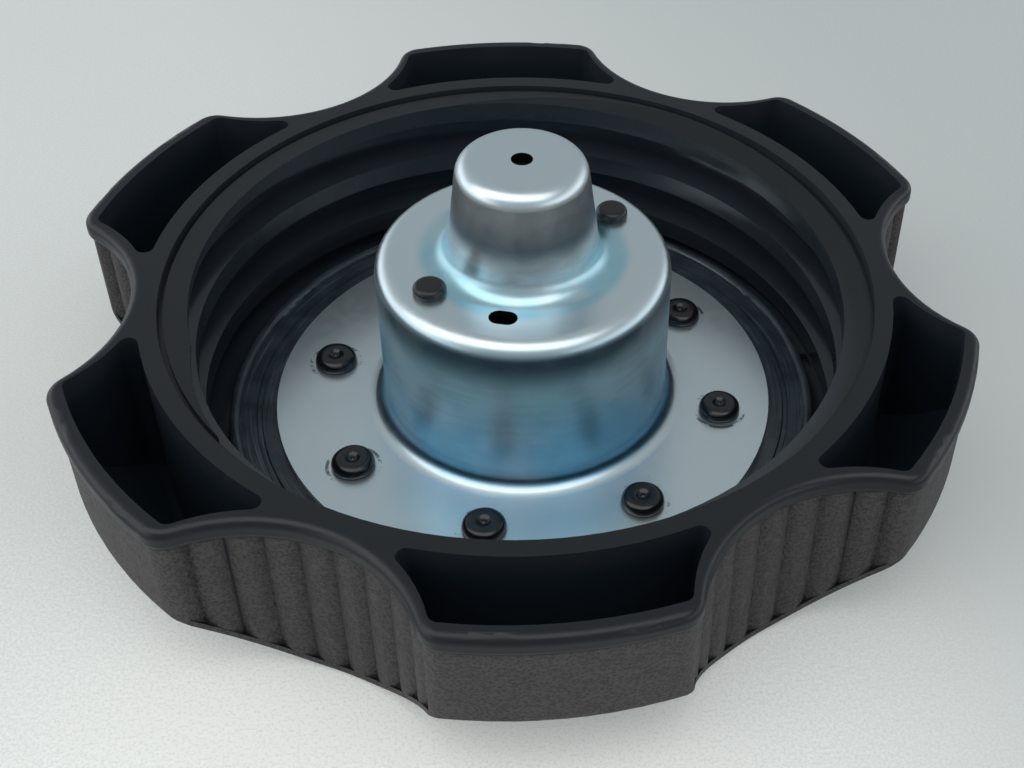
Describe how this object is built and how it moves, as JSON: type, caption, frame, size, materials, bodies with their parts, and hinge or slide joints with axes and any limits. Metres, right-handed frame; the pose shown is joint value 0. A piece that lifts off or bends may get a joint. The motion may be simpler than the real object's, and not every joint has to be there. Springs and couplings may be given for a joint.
{
  "type": "fuel filler cap",
  "caption": "Screw-on black fuel tank cap with a lobed handwheel, coarse inner neck thread, rubber gasket and a riveted two-step steel hat that houses its vent valves.",
  "frame": {"origin": "on the cap's axis, at its outer face, which it lies on", "axes": "+Z out of the mouth that goes over the neck, one lobe facing -Y"},
  "size_m": [0.1166, 0.122, 0.045],
  "materials": {
    "black_nylon": "spark-eroded grain, smooth semi-gloss bead and inside",
    "nitrile_rubber": "matte moulded rubber",
    "zinc_steel": "bright zinc plate, blue passivated",
    "rivet_plastic": "semi-gloss black",
    "carrier_plastic": "smooth moulded black acetal",
    "natural_acetal": "natural white acetal",
    "bright_steel": "polished hardened steel",
    "spring_steel": "drawn spring wire",
    "filter_foam": "open-cell foam"
  },
  "bodies": {
    "cap": {"cap_body": "black_nylon", "neck_gasket": "nitrile_rubber", "hat_housing": "zinc_steel", "flange_rivets": "rivet_plastic", "valve_carrier": "carrier_plastic", "carrier_o_ring": "nitrile_rubber", "ball_cage": "natural_acetal", "ball_seat": "nitrile_rubber", "spring_retainer": "zinc_steel", "snap_ring": "spring_steel", "filter_foam": "filter_foam", "pressure_spring": "spring_steel"},
    "pressure_valve": {"pressure_disc": "zinc_steel", "pressure_seal": "nitrile_rubber", "vacuum_spring": "spring_steel"},
    "vacuum_valve": {"vacuum_valve": "natural_acetal", "vacuum_seal": "nitrile_rubber", "spring_cup": "zinc_steel", "stem_clip": "spring_steel"},
    "rollover_ball": {"rollover_ball": "bright_steel"}
  },
  "joints": [
    {"name": "pressure_valve_travel", "type": "slide", "parent": "cap", "child": "pressure_valve", "axis": [0, 0, -1], "range_m": [0, 0.0025], "stiffness_N_per_m": 500, "springref_m": -0.005, "deforming": ["pressure_spring"]},
    {"name": "vacuum_valve_travel", "type": "slide", "parent": "pressure_valve", "child": "vacuum_valve", "axis": [0, 0, 1], "range_m": [0, 0.0012], "stiffness_N_per_m": 60, "springref_m": -0.0025, "deforming": ["vacuum_spring"]},
    {"name": "rollover_ball_travel", "type": "slide", "parent": "cap", "child": "rollover_ball", "axis": [0, 0, 1], "range_m": [0, 0.0042]}
  ]
}
